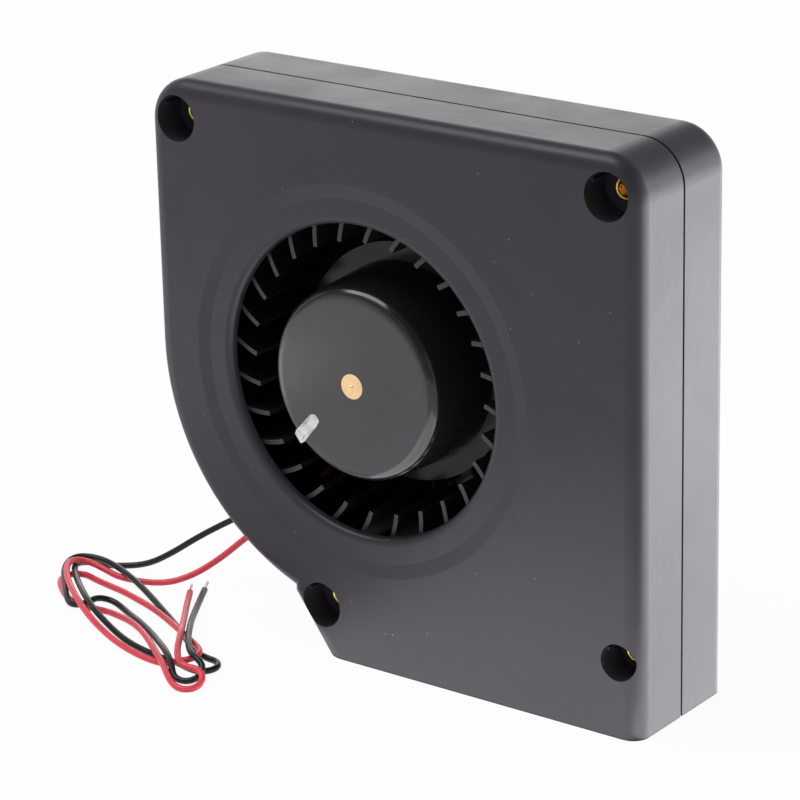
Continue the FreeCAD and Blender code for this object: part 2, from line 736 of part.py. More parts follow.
def stator_core():
    end = CORE_START + CORE_LENGTH
    hub = cylinder(CORE_HUB_R, CORE_START, end)
    arms = []
    for number in range(POLE_COUNT):
        arm = box(
            AXIS_X, AXIS_X + CORE_R - POLE_SHOE_THICKNESS / 2, CORE_START, end,
            AXIS_Z - POLE_WIDTH / 2, AXIS_Z + POLE_WIDTH / 2,
        )
        half = POLE_SHOE_DEG / 2
        outer = CORE_R
        inner = CORE_R - POLE_SHOE_THICKNESS
        shoe = slab(
            polar(inner, -half),
            polar(outer, -half),
            (polar(outer, 0), polar(outer, half)),
            polar(inner, half),
            (polar(inner, 0), polar(inner, -half)),
            depth0=CORE_START,
            depth1=end,
        )
        arms.append(about_axis(arm.fuse(shoe), pole_angle(number)))
    return hub.fuse(arms).cut(cylinder(TUBE_R, CORE_START, end)).removeSplitter()


def pole_angle(number):
    return (number + 0.5) * 360 / POLE_COUNT


def insulator(core, face, toward):
    # One moulded cap: collar, arm covers and the flanges that hold the windings in
    middle = CORE_START + CORE_LENGTH / 2
    outside = face + toward * INSULATOR_THICKNESS
    inside = middle + toward * INSULATOR_SIDE
    tip = face + toward * (COIL_THICKNESS + INSULATOR_THICKNESS)
    half_width = POLE_WIDTH / 2 + INSULATOR_SIDE
    wall_r = CORE_R - POLE_SHOE_THICKNESS
    body = cylinder(CORE_HUB_R, min(face, outside), max(face, outside))
    for number in range(POLE_COUNT):
        cover = box(
            AXIS_X + CORE_HUB_R - INSULATOR_SIDE, AXIS_X + wall_r, min(outside, inside), max(outside, inside),
            AXIS_Z - half_width, AXIS_Z + half_width,
        )
        flange = box(
            AXIS_X + wall_r - INSULATOR_SIDE, AXIS_X + wall_r + FLANGE_THICKNESS - INSULATOR_SIDE,
            min(face, tip), max(face, tip), AXIS_Z - FLANGE_WIDTH / 2, AXIS_Z + FLANGE_WIDTH / 2,
        )
        body = body.fuse(about_axis(cover.fuse(flange), pole_angle(number)))
    past = COIL_THICKNESS * 2
    body = body.cut(cylinder(TUBE_R, CORE_START - past, CORE_START + CORE_LENGTH + past))
    return body.cut(core).removeSplitter()


def windings():
    half_width = POLE_WIDTH / 2 + INSULATOR_SIDE
    front = CORE_START - INSULATOR_THICKNESS
    back = CORE_START + CORE_LENGTH + INSULATOR_THICKNESS
    outer_r = min(COIL_OUTER_R, CORE_R - POLE_SHOE_THICKNESS - INSULATOR_SIDE)
    coils = []
    for number in range(POLE_COUNT):
        block = box(
            AXIS_X + COIL_INNER_R, AXIS_X + outer_r, front - COIL_THICKNESS, back + COIL_THICKNESS,
            AXIS_Z - half_width - COIL_THICKNESS, AXIS_Z + half_width + COIL_THICKNESS,
        )
        corners = [e for e in block.Edges if abs(e.BoundBox.XLength - (outer_r - COIL_INNER_R)) < 0.01]
        block = block.makeFillet(COIL_CORNER_R, corners)
        hole = box(AXIS_X, AXIS_X + CORE_R, front, back, AXIS_Z - half_width, AXIS_Z + half_width)
        coils.append(about_axis(block.cut(hole), pole_angle(number)))
    return Part.makeCompound(coils)


# Driver board

def on_board(shape_size, ring_r, degrees):
    # A block standing on the board's front side, turned to face the axis
    along, across, height = shape_size
    block = box(
        AXIS_X + ring_r - across / 2, AXIS_X + ring_r + across / 2, BOARD_DEPTH - height, BOARD_DEPTH,
        AXIS_Z - along / 2, AXIS_Z + along / 2,
    )
    return about_axis(block, degrees)


def driver_board():
    board = ring(BOARD_R, SOCKET_R + BOARD_HOLE_PLAY, BOARD_DEPTH, BOARD_DEPTH + BOARD_THICKNESS)
    holes = [cylinder(WINDING_PIN_R, BOARD_DEPTH - 1, BOARD_DEPTH + 2, x, z) for x, z in pin_places()]
    return board.cut(holes)


def pin_places():
    return [polar(WINDING_PIN_RING_R, pole_angle(number) + 45) for number in range(POLE_COUNT)]


def winding_pins():
    start = CORE_START + CORE_LENGTH + INSULATOR_THICKNESS
    end = BOARD_DEPTH + BOARD_THICKNESS + WINDING_PIN_R
    return Part.makeCompound([cylinder(WINDING_PIN_R, start, end, x, z) for x, z in pin_places()])


def driver_chip():
    along, across, height = CHIP_SIZE
    body = on_board((along, across, height - 0.1), CHIP_RING_R, 20)
    body.translate(FreeCAD.Vector(0, -0.1, 0))
    return body


def chip_legs():
    along, across, height = CHIP_SIZE
    legs = []
    for side in (-1, 1):
        for number in range(3):
            offset = (number - 1) * CHIP_LEG_PITCH
            x = AXIS_X + CHIP_RING_R + side * (across / 2 + 0.3)
            leg = box(
                x - 0.3, x + 0.3, BOARD_DEPTH - height / 2, BOARD_DEPTH,
                AXIS_Z + offset - 0.2, AXIS_Z + offset + 0.2,
            )
            legs.append(about_axis(leg, 20))
    return Part.makeCompound(legs)


def capacitor():
    x, z = polar(CAPACITOR_RING_R, 160)
    can = cylinder(CAPACITOR_R, BOARD_DEPTH - CAPACITOR_HEIGHT, BOARD_DEPTH, x, z)
    front = [e for e in can.Edges if e.BoundBox.YMax < FRONT_Y + BOARD_DEPTH - CAPACITOR_HEIGHT + 0.01]
    return can.makeFillet(CAPACITOR_R / 5, front)


# Leads

def lead_side(side):
    return side * LEAD_SPACING / 2


def inner_lead(side):
    start = beside_exit(JOINT_RING_R, lead_side(side))
    end = beside_exit(SCROLL_R, lead_side(side))
    line = FreeCAD.Vector(end[0] - start[0], 0, end[1] - start[1])
    run = Part.makeCylinder(LEAD_R, line.Length, space(start[0], EXIT_DEPTH, start[1]), line)
    return run


def solder_joints():
    domes = []
    for side in (-1, 1):
        x, z = beside_exit(JOINT_RING_R + JOINT_R, lead_side(side))
        top = EXIT_DEPTH - LEAD_R
        domes.append(
            turned(
                (0, BOARD_DEPTH + BOARD_THICKNESS),
                (JOINT_R, BOARD_DEPTH + BOARD_THICKNESS),
                (JOINT_R / 2, top),
                (0, top),
                x=x,
                z=z,
            )
        )
    return Part.makeCompound(domes)


def tube(points, radius, name):
    # Straight runs joined by tangent arcs, each as large as its two runs allow
    corners = [FreeCAD.Vector(*p) for p in points]
    edges = []
    here = corners[0]
    radii = []
    for before, corner, after in zip(corners, corners[1:], corners[2:]):
        into = corner - before
        out = after - corner
        turn = into.getAngle(out)
        cut = 0.45 * min(into.Length, out.Length)
        radii.append(cut / math.tan(turn / 2))
        into.normalize()
        out.normalize()
        start = corner - into * cut
        end = corner + out * cut
        bisector = out - into
        bisector.normalize()
        sag = radii[-1] / math.cos(turn / 2) - radii[-1]
        edges.append(Part.LineSegment(here, start).toShape())
        edges.append(Part.Arc(start, corner + bisector * sag, end).toShape())
        here = end
    edges.append(Part.LineSegment(here, corners[-1]).toShape())
    path = Part.Wire(edges)
    section = Part.Wire(Part.makeCircle(radius, corners[0], corners[1] - corners[0]))
    solid = path.makePipeShell([section], True, False)
    ratio = solid.Volume / (math.pi * radius ** 2 * path.Length)
    bends = [round(r, 1) for r in radii]
    print(name, "length", round(path.Length, 1), "volume ratio", round(ratio, 4), "radii", bends)
    return solid


def lead_route(side, route):
    slot = beside_exit(SCROLL_R, lead_side(side))
    out = beside_exit(SCROLL_R + LEAD_STRAIGHT, lead_side(side))
    y = FRONT_Y + EXIT_DEPTH
    return ((slot[0], y, slot[1]), (out[0], y, out[1])) + route


def lead_hank():
    # The outer shape of both leads' loops where they lie on the table
    face = profile(HANK_OUTLINE[-1][1], HANK_OUTLINE, lambda p: FreeCAD.Vector(p[0], p[1], 0))
    hank = face.extrude(FreeCAD.Vector(0, 0, HANK_HEIGHT))
    top = [e for e in hank.Edges if e.BoundBox.ZMin > HANK_HEIGHT - 0.01]
    hank = hank.makeFillet(HANK_EDGE_R, top)
    hank.rotate(FreeCAD.Vector(0, 0, 0), FreeCAD.Vector(0, 0, 1), HANK_TURN_DEG)
    hank.translate(FreeCAD.Vector(HANK_END[0], HANK_END[1], 0))
    return hank


def strands(tail):
    last = FreeCAD.Vector(*tail[-1])
    way = last - FreeCAD.Vector(*tail[-2])
    way.normalize()
    return Part.makeCylinder(STRAND_R, TAIL_STRIPPED, last, way)


def save(name, shape):
    solids = shape.Solids
    if not solids or not shape.isValid():
        raise ValueError(name + " is not a valid solid")
    result = solids[0] if len(solids) == 1 else Part.makeCompound(solids)
    result.exportStep("parts/" + name + ".step")
    print(name, len(solids), "solids", round(sum(s.Volume for s in solids), 1), "mm3")


def main():
    os.makedirs("parts", exist_ok=True)
    block = outline_block()
    rounded = rounded_block()
    front = front_shell(block, rounded)
    face, walls = split_shell(front, block, FRONT_EDGE_R, -1, FRONT_WALL, FRONT_WALL, FRONT_HALF_DEPTH)
    save("front_shell", face)
    save("front_shell_walls", walls)
    rear = rear_shell(block, rounded)
    face, walls = split_shell(rear, block, BACK_EDGE_R, INSIDE_BACK, BODY_DEPTH + 1, 0, INSIDE_BACK)
    save("rear_shell", face)
    save("rear_shell_walls", walls)
    save("housing_eyelets", Part.makeCompound([eyelet(x, z) for x, z, r in HOLES]))

    hub = impeller_hub()
    shroud = impeller_shroud()
    save("impeller_hub", hub)
    save("impeller_shroud", shroud)
    save("impeller_blades", impeller_blades(hub, shroud))
    save("hub_bush", hub_bush())
    save("rotor_yoke", rotor_yoke())
    magnet_end = MAGNET_START + MAGNET_LENGTH
    save("ring_magnet", ring(YOKE_R - YOKE_THICKNESS, MAGNET_INNER_R, MAGNET_START, magnet_end))
    save("shaft", shaft())
    save("preload_spring", preload_spring())
    save("shim_washer", ring(SHIM_R, SHAFT_R, SHIM_START, SHIM_START + SHIM_THICKNESS))
    save("retaining_clip", retaining_clip())

    save("bearing_tube", bearing_tube())
    bearing("front", FRONT_BEARING_START)
    bearing("rear", REAR_BEARING_START)

    core = stator_core()
    save("stator_core", core)
    save("front_insulator", insulator(core, CORE_START, -1))
    save("rear_insulator", insulator(core, CORE_START + CORE_LENGTH, 1))
    save("stator_windings", windings())
    save("winding_pins", winding_pins())

    save("driver_board", driver_board())
    save("driver_chip", driver_chip())
    save("chip_legs", chip_legs())
    save("position_sensor", on_board(SENSOR_SIZE, SENSOR_RING_R, 0))
    save("capacitor", capacitor())
    resistors = [on_board(RESISTOR_SIZE, RESISTOR_RING_R, degrees) for degrees in (65, 110, 300)]
    save("chip_resistors", Part.makeCompound(resistors))
    save("lead_solder_joints", solder_joints())

    save("black_lead_inside", inner_lead(-1))
    save("red_lead_inside", inner_lead(1))
    hank = lead_hank()
    save("lead_hank", hank)
    save("black_lead", tube(lead_route(-1, BLACK_ROUTE), LEAD_R, "black_lead").cut(hank))
    save("red_lead", tube(lead_route(1, RED_ROUTE), LEAD_R, "red_lead").cut(hank))
    save("red_lead_tail", tube(RED_TAIL, LEAD_R, "red_lead_tail").cut(hank))
    save("black_lead_tail", tube(BLACK_TAIL, LEAD_R, "black_lead_tail").cut(hank))
    save("red_lead_strands", strands(RED_TAIL))
    save("black_lead_strands", strands(BLACK_TAIL))


main()
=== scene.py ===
import math

import bmesh
import bpy
from mathutils import Matrix, Vector


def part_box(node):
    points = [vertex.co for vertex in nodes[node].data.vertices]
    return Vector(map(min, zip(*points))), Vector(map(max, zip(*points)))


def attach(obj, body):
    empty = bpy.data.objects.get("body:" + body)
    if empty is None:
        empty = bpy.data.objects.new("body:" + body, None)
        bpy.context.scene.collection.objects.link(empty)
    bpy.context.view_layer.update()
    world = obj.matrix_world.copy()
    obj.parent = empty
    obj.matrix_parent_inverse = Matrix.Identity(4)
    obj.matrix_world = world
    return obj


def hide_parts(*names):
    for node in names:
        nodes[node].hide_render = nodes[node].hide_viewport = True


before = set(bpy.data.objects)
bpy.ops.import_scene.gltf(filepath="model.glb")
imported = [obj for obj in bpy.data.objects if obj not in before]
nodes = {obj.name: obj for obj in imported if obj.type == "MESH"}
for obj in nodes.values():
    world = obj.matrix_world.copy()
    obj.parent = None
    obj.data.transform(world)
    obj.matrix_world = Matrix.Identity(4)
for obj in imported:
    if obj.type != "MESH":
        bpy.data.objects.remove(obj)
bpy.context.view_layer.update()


# Housing halves
# Two mouldings of satin black plastic, front and rear, that meet at a seam round the side walls.
# Their mould faces have a fine spark grain, and shipping leaves dust, rubs and a few hairline marks.
def add_node(tree, kind, inputs=None, **settings):
    """Adds a node. An input that is given a socket is linked to it, and one that is given a value is set."""
    made = tree.nodes.new(kind)
    for name, value in settings.items():
        setattr(made, name, value)
    for name, value in (inputs or {}).items():
        if isinstance(value, bpy.types.NodeSocket):
            tree.links.new(value, made.inputs[name])
        else:
            made.inputs[name].default_value = value
    return made


def calculate(tree, operation, *values):
    return add_node(tree, "ShaderNodeMath", dict(enumerate(values)), operation=operation).outputs["Value"]


def band(tree, value, start, end, at_start=0.0, at_end=1.0):
    """Goes from at_start to at_end as the value goes from start to end, and stays level outside them."""
    return add_node(
        tree,
        "ShaderNodeMapRange",
        {"Value": value, "From Min": start, "From Max": end, "To Min": at_start, "To Max": at_end},
    ).outputs["Result"]


def mix_colour(tree, share, first, second):
    """The first colour where the share is 0 and the second where it is 1. Each is a socket or plain RGB."""
    inputs = {"Factor": share}
    for name, colour in (("A", first), ("B", second)):
        inputs[name] = colour if isinstance(colour, bpy.types.NodeSocket) else (*colour, 1.0)
    return add_node(tree, "ShaderNodeMix", inputs, data_type="RGBA").outputs["Result"]


def build_surface_wear():
    """The group that every finish uses: masks of its grain, broad clouds, dust specks and fine scratches."""
    tree = bpy.data.node_groups.new("surface_wear", "ShaderNodeTree")
    tree.interface.new_socket("Place", in_out="INPUT", socket_type="NodeSocketVector")
    for name in ("Grain Scale", "Cloud Scale", "Dust Scale"):
        tree.interface.new_socket(name, in_out="INPUT", socket_type="NodeSocketFloat")
    for name in ("Grain", "Clouds", "Dust", "Scratches"):
        tree.interface.new_socket(name, in_out="OUTPUT", socket_type="NodeSocketFloat")
    given = add_node(tree, "NodeGroupInput").outputs
    grain = add_node(
        tree,
        "ShaderNodeTexNoise",
        {"Vector": given["Place"], "Scale": given["Grain Scale"], "Detail": 3.0, "Roughness": 0.6},
    )
    clouds = add_node(
        tree,
        "ShaderNodeTexNoise",
        {
            "Vector": given["Place"],
            "Scale": given["Cloud Scale"],
            "Detail": 5.0,
            "Roughness": 0.62,
            "Distortion": 0.4,
        },
    )
    dots = add_node(
        tree,
        "ShaderNodeTexVoronoi",
        {"Vector": given["Place"], "Scale": given["Dust Scale"], "Randomness": 1.0},
    )
    chosen = add_node(tree, "ShaderNodeSeparateColor", {"Color": dots.outputs["Color"]})
    small = band(tree, dots.outputs["Distance"], start=0.085, end=0.03)
    few = band(tree, chosen.outputs["Red"], start=0.93, end=0.95)
    drawn_out = add_node(
        tree,
        "ShaderNodeMapping",
        {"Vector": given["Place"], "Rotation": (0.3, 0.9, 0.5), "Scale": (1.0, 14.0, 14.0)},
    )
    hairs = add_node(
        tree,
        "ShaderNodeTexNoise",
        {"Vector": drawn_out.outputs["Vector"], "Scale": 62.0, "Detail": 1.0, "Roughness": 0.4},
    )
    masks = {
        "Grain": grain.outputs["Fac"],
        "Clouds": band(tree, clouds.outputs["Fac"], start=0.32, end=0.68),
        "Dust": calculate(tree, "MULTIPLY", small, few),
        "Scratches": band(tree, hairs.outputs["Fac"], start=0.76, end=0.80),
    }
    add_node(tree, "NodeGroupOutput", masks)
    return tree


surface_wear = build_surface_wear()


def worn_surface(
    name,
    dark,
    light,
    rough,
    grain=2600.0,
    clouds=26.0,
    dust=170.0,
    dust_colour=None,
    scratch=0.06,
    depth=0.00002,
    sink=0.0,
    **plain,
):
    """A solid finish whose colour and gloss drift, with grain in its bump, dust specks and fine scratches.
    Depth is the height of its grain, and sink that of the broad unevenness under it, in metres. Plain holds
    what is the same all over and is set on the shader's own sockets."""
    material = bpy.data.materials.new(name)
    material.use_nodes = True
    tree = material.node_tree
    shader = tree.nodes["Principled BSDF"]
    place = add_node(tree, "ShaderNodeTexCoord").outputs["Object"]
    wear = add_node(
        tree,
        "ShaderNodeGroup",
        {"Place": place, "Grain Scale": grain, "Cloud Scale": clouds, "Dust Scale": dust},
        node_tree=surface_wear,
    ).outputs
    colour = mix_colour(tree, wear["Clouds"], dark, light)
    if dust_colour:
        colour = mix_colour(tree, wear["Dust"], colour, dust_colour)
    tree.links.new(colour, shader.inputs["Base Color"])
    smooth, dull = rough
    gloss = band(tree, wear["Clouds"], 0.0, 1.0, smooth, dull)
    marked = calculate(tree, "MULTIPLY_ADD", wear["Scratches"], scratch, gloss)
    tree.links.new(marked, shader.inputs["Roughness"])
    bump = add_node(tree, "ShaderNodeBump", {"Height": wear["Grain"], "Strength": 0.5, "Distance": depth})
    if sink:
        heights = {"Height": wear["Clouds"], "Strength": 1.0, "Distance": sink}
        uneven = add_node(tree, "ShaderNodeBump", heights)
        tree.links.new(uneven.outputs["Normal"], bump.inputs["Normal"])
    tree.links.new(bump.outputs["Normal"], shader.inputs["Normal"])
    for socket, value in plain.items():
        shader.inputs[socket.replace("_", " ")].default_value = value
    return material


def dress(material, *names):
    for name in names:
        mesh = nodes[name].data
        mesh.materials.clear()
        mesh.materials.append(material)


housing_plastic = worn_surface(
    "housing_plastic",
    dark=(0.0195, 0.0185, 0.0235),
    light=(0.0275, 0.026, 0.0325),
    rough=(0.34, 0.44),
    grain=3200.0,
    dust=560.0,
    dust_colour=(0.30, 0.29, 0.29),
    depth=0.00003,
    sink=0.0001,
    Specular_IOR_Level=0.35,
    Specular_Tint=(0.97, 0.93, 1.0, 1.0),
)
dress(housing_plastic, *[name for name in nodes if name.startswith(("front_shell", "rear_shell"))])

# Eyelets
# Brass tubes with rolled rims, set between the floors of the counterbores so that screws don't crush the
# shell. They are drawn from thin brass sheet and riveted over at both ends.
brass = worn_surface(
    "brass",
    dark=(0.72, 0.49, 0.12),
    light=(0.86, 0.63, 0.20),
    rough=(0.20, 0.34),
    grain=1800.0,
    clouds=240.0,
    scratch=0.15,
    depth=0.00001,
    Metallic=1.0,
)
dress(brass, "housing_eyelets")

# Bearing tube and ball bearings
# The brass tube stands on the rear half and holds a 3 x 8 x 4 mm ball bearing at each end.
# The races and balls are ground steel, and the cages and shields are pressed strip.
plated_steel = worn_surface(
    "plated_steel",
    dark=(0.42, 0.42, 0.43),
    light=(0.58, 0.58, 0.57),
    rough=(0.24, 0.40),
    grain=1500.0,
    clouds=120.0,
    scratch=0.12,
    Metallic=1.0,
)
hard_steel = worn_surface(
    "hard_steel",
    dark=(0.50, 0.50, 0.51),
    light=(0.64, 0.64, 0.65),
    rough=(0.10, 0.20),
    grain=4000.0,
    clouds=200.0,
    scratch=0.10,
    depth=0.000004,
    Metallic=1.0,
)
dress(brass, "bearing_tube")
for end in ("front", "rear"):
    dress(plated_steel, f"{end}_bearing_cage", f"{end}_bearing_shields")
    dress(hard_steel, *[f"{end}_bearing_{part}" for part in ("outer_race", "inner_race", "balls")])

# Stator
# Four poles of stacked core steel, a nylon insulator on each face, and enamelled copper wound round the
# poles. The wire ends are wrapped on tinned pins that stand in the driver board.
core_steel = worn_surface(
    "core_steel",
    dark=(0.16, 0.16, 0.17),
    light=(0.27, 0.27, 0.28),
    rough=(0.38, 0.55),
    grain=900.0,
    clouds=90.0,
    Metallic=1.0,
)
insulator_plastic = worn_surface(
    "insulator_plastic",
    dark=(0.60, 0.57, 0.50),
    light=(0.72, 0.69, 0.62),
    rough=(0.34, 0.46),
    grain=2600.0,
    clouds=110.0,
)
tinned_copper = worn_surface(
    "tinned_copper",
    dark=(0.40, 0.39, 0.36),
    light=(0.60, 0.58, 0.55),
    rough=(0.22, 0.36),
    grain=2400.0,
    clouds=420.0,
    Metallic=1.0,
)
dress(core_steel, "stator_core")
dress(insulator_plastic, "front_insulator", "rear_insulator")
dress(tinned_copper, "winding_pins", "lead_solder_joints", "chip_legs")

WIRE_ROUNDING = 0.00012


def wound_wire(name, dark, light):
    """Enamelled wire laid side by side, as fine rounded rows stacked along the motor's axis."""
    material = worn_surface(name, dark, light, rough=(0.18, 0.30), clouds=180.0, Metallic=1.0)
    tree = material.node_tree
    shader = tree.nodes["Principled BSDF"]
    place = add_node(tree, "ShaderNodeTexCoord").outputs["Object"]
    rows = add_node(
        tree,
        "ShaderNodeTexWave",
        {"Vector": place, "Scale": 900.0, "Distortion": 0.6, "Detail": 1.0, "Detail Scale": 0.4},
        wave_type="BANDS",
        bands_direction="Y",
        wave_profile="SIN",
    )
    bump = add_node(
        tree,
        "ShaderNodeBump",
        {"Height": rows.outputs["Fac"], "Strength": 0.8, "Distance": WIRE_ROUNDING},
    )
    tree.links.new(bump.outputs["Normal"], shader.inputs["Normal"])
    return material


copper = wound_wire("copper", dark=(0.46, 0.14, 0.05), light=(0.68, 0.26, 0.10))
dress(copper, "stator_windings")

# Driver board
# A round glass-epoxy board behind the stator, with the motor driver chip, its legs, a position sensor,
# a small electrolytic capacitor and three chip resistors. The leads are soldered to its edge.
board_green = worn_surface(
    "board",
    dark=(0.012, 0.10, 0.04),
    light=(0.03, 0.16, 0.06),
    rough=(0.26, 0.36),
    grain=1400.0,
    clouds=150.0,
    Coat_Weight=0.4,
)
chip_plastic = worn_surface(
    "chip_plastic",
    dark=(0.012, 0.012, 0.013),
    light=(0.022, 0.022, 0.022),
    rough=(0.48, 0.60),
    grain=5200.0,
    clouds=300.0,
)
capacitor_can = worn_surface(
    "capacitor_can",
    dark=(0.62, 0.63, 0.64),
    light=(0.76, 0.77, 0.78),
    rough=(0.22, 0.34),
    clouds=260.0,
    Metallic=1.0,
)
dress(board_green, "driver_board")
dress(chip_plastic, "driver_chip", "position_sensor", "chip_resistors")
dress(capacitor_can, "capacitor")

# Shaft, bush and rotor cup
# A ground 3 mm shaft turns in the bearings, with a spring, a washer and a clip that take up its end play.
# The brass bush joins it to the hub's face, and the drawn steel cup inside the hub carries the ring magnet.
ferrite = worn_surface(
    "ferrite",
    dark=(0.028, 0.027, 0.027),
    light=(0.050, 0.048, 0.047),
    rough=(0.52, 0.68),
    grain=2000.0,
    clouds=140.0,
)
bush_brass = worn_surface(
    "bush_brass",
    dark=(0.74, 0.50, 0.26),
    light=(0.84, 0.60, 0.34),
    rough=(0.26, 0.36),
    grain=3000.0,
    clouds=420.0,
    scratch=0.2,
    depth=0.00001,
    Metallic=1.0,
)
dress(bush_brass, "hub_bush")
dress(hard_steel, "shaft", "preload_spring", "shim_washer", "retaining_clip")
dress(plated_steel, "rotor_yoke")
dress(ferrite, "ring_magnet")

# Impeller
# One black moulding: a hub that hides the rotor cup, a back plate, 28 forward-curved blades and a shroud
# ring. It comes from a polished mould, so it is glossier than the housing. Its blades, shroud, hub walls and
# the step below the hub's face are painted near black as painted shade, and the blades' front ends paler as
# painted light.
HUB_FACE_END_Y = -0.012
LEDGE_START_Y = -0.004


def overpaint(material, share, colour):
    """Lays a colour over the material's own, as thick as the share says."""
    tree = material.node_tree
    target = tree.nodes["Principled BSDF"].inputs["Base Color"]
    own = target.links[0].from_socket
    tree.links.new(mix_colour(tree, share, own, colour), target)


def hub_plastic_painted_shade():
    """Satin on the faces that look forward. The step below the face with the bush is painted darker, and the
    rounded edge and the walls painted near black, both as painted shade."""
    material = worn_surface(
        "hub_plastic_painted_shade",
        dark=(0.034, 0.031, 0.036),
        light=(0.044, 0.040, 0.047),
        rough=(0.13, 0.19),
        grain=2200.0,
        clouds=44.0,
        dust_colour=(0.22, 0.22, 0.22),
        dust=220.0,
        depth=0.000008,
        sink=0.00003,
    )
    tree = material.node_tree
    place = add_node(tree, "ShaderNodeTexCoord").outputs
    facing = add_node(tree, "ShaderNodeSeparateXYZ", {"Vector": place["Normal"]}).outputs["Y"]
    depth = add_node(tree, "ShaderNodeSeparateXYZ", {"Vector": place["Object"]}).outputs["Y"]
    ledge_painted_shade = band(tree, depth, HUB_FACE_END_Y, LEDGE_START_Y)
    sides_painted_shade = band(tree, facing, start=-0.97, end=-0.86)
    # Painted shade: the recessed step is darkened, and the rounded edge and walls are painted near black by
    # the way they face.
    overpaint(material, ledge_painted_shade, (0.014, 0.013, 0.015))
    overpaint(material, sides_painted_shade, (0.010, 0.010, 0.011))
    sheen = band(tree, depth, HUB_FACE_END_Y, LEDGE_START_Y, at_start=0.5, at_end=0.25)
    tree.links.new(sheen, tree.nodes["Principled BSDF"].inputs["Specular IOR Level"])
    return material


dress(hub_plastic_painted_shade(), "impeller_hub")


def blade_plastic_painted_shade_and_light():
    """Blades and shroud near black all over as painted shade, with painted light on the front ends that face
    forward.
    """
    # The near-black base colour of the blades and shroud is painted shade.
    material = worn_surface(
        "blade_plastic_painted_shade_and_light",
        dark=(0.006, 0.006, 0.006),
        light=(0.010, 0.010, 0.010),
        rough=(0.30, 0.40),
        clouds=60.0,
        depth=0.00001,
        Specular_IOR_Level=0.2,
    )
    tree = material.node_tree
    place = add_node(tree, "ShaderNodeTexCoord").outputs
    facing = add_node(tree, "ShaderNodeSeparateXYZ", {"Vector": place["Normal"]}).outputs["Y"]
    # Painted light: the ends that face forward are made paler than the painted shade on the rest.
    overpaint(material, band(tree, facing, start=-0.85, end=-0.97), (0.046, 0.043, 0.046))
    return material


dress(blade_plastic_painted_shade_and_light(), "impeller_blades", "impeller_shroud")

# Balance mark
# A dab of white marking paint on the hub's face, brushed on by hand after the rotor was balanced. It is
# thin, ragged and lets the plastic show through. Its outline is given by x and z in millimetres.
MM_PER_METRE = 1000
MARK_OUTLINE = (
    (-22.50, 48.95),
    (-21.12, 47.11),
    (-19.98, 47.73),
    (-18.50, 49.77),
    (-16.95, 51.47),
    (-16.12, 52.88),
    (-16.62, 53.68),
    (-17.18, 54.12),
    (-17.92, 54.11),
    (-18.68, 53.61),
    (-20.15, 51.93),
    (-22.13, 49.86),
)
MARK_THICKNESS = 0.00005
MARK_ROUNDING = MARK_THICKNESS * 0.8
BRUSH_RISE_DEG = 47.0


def add_piece(name, shape, material, smooth=True):
    """Turns a finished bmesh into an object at the origin, with its faces pointing outwards."""
    bmesh.ops.recalc_face_normals(shape, faces=shape.faces)
    mesh = bpy.data.meshes.new(name)
    shape.to_mesh(mesh)
    shape.free()
    mesh.materials.append(material)
    for face in mesh.polygons:
        face.use_smooth = smooth
    piece = bpy.data.objects.new(name, mesh)
    bpy.context.scene.collection.objects.link(piece)
    return piece


def brushed_paint():
    """White paint with streaks along the brush's stroke, where the black plastic shows through."""
    material = worn_surface(
        "marking_paint",
        dark=(0.42, 0.42, 0.43),
        light=(0.70, 0.69, 0.70),
        rough=(0.50, 0.66),
        grain=3600.0,
        clouds=620.0,
        depth=0.00005,
    )
    tree = material.node_tree
    place = add_node(tree, "ShaderNodeTexCoord").outputs["Object"]
    along = add_node(
        tree,
        "ShaderNodeMapping",
        {"Vector": place, "Rotation": (0, math.radians(-BRUSH_RISE_DEG), 0), "Scale": (9.0, 1.0, 1.0)},
        vector_type="TEXTURE",
    )
    hairs = add_node(
        tree,
        "ShaderNodeTexNoise",
        {"Vector": along.outputs["Vector"], "Scale": 2600.0, "Detail": 2.0, "Roughness": 0.5},
    )
    thin = band(tree, hairs.outputs["Fac"], start=0.58, end=0.66)
    overpaint(material, thin, (0.10, 0.10, 0.105))
    return material


def balance_mark():
    face_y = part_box("impeller_hub")[0].y
    shape = bmesh.new()
    outline = [(x / MM_PER_METRE, face_y, z / MM_PER_METRE) for x, z in MARK_OUTLINE]
    base = shape.faces.new([shape.verts.new(corner) for corner in outline])
    raised = bmesh.ops.extrude_face_region(shape, geom=[base])["geom"]
    top = [corner for corner in raised if isinstance(corner, bmesh.types.BMVert)]
    bmesh.ops.translate(shape, verts=top, vec=(0, -MARK_THICKNESS, 0))
    rim = [edge for edge in shape.edges if all(corner in top for corner in edge.verts)]
    bmesh.ops.bevel(
        shape,
        geom=rim,
        offset=MARK_ROUNDING,
        segments=2,
        profile=0.5,
        affect="EDGES",
        material=-1,
    )
    return add_piece("balance_mark", shape, brushed_paint(), smooth=False)


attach(balance_mark(), "rotor")

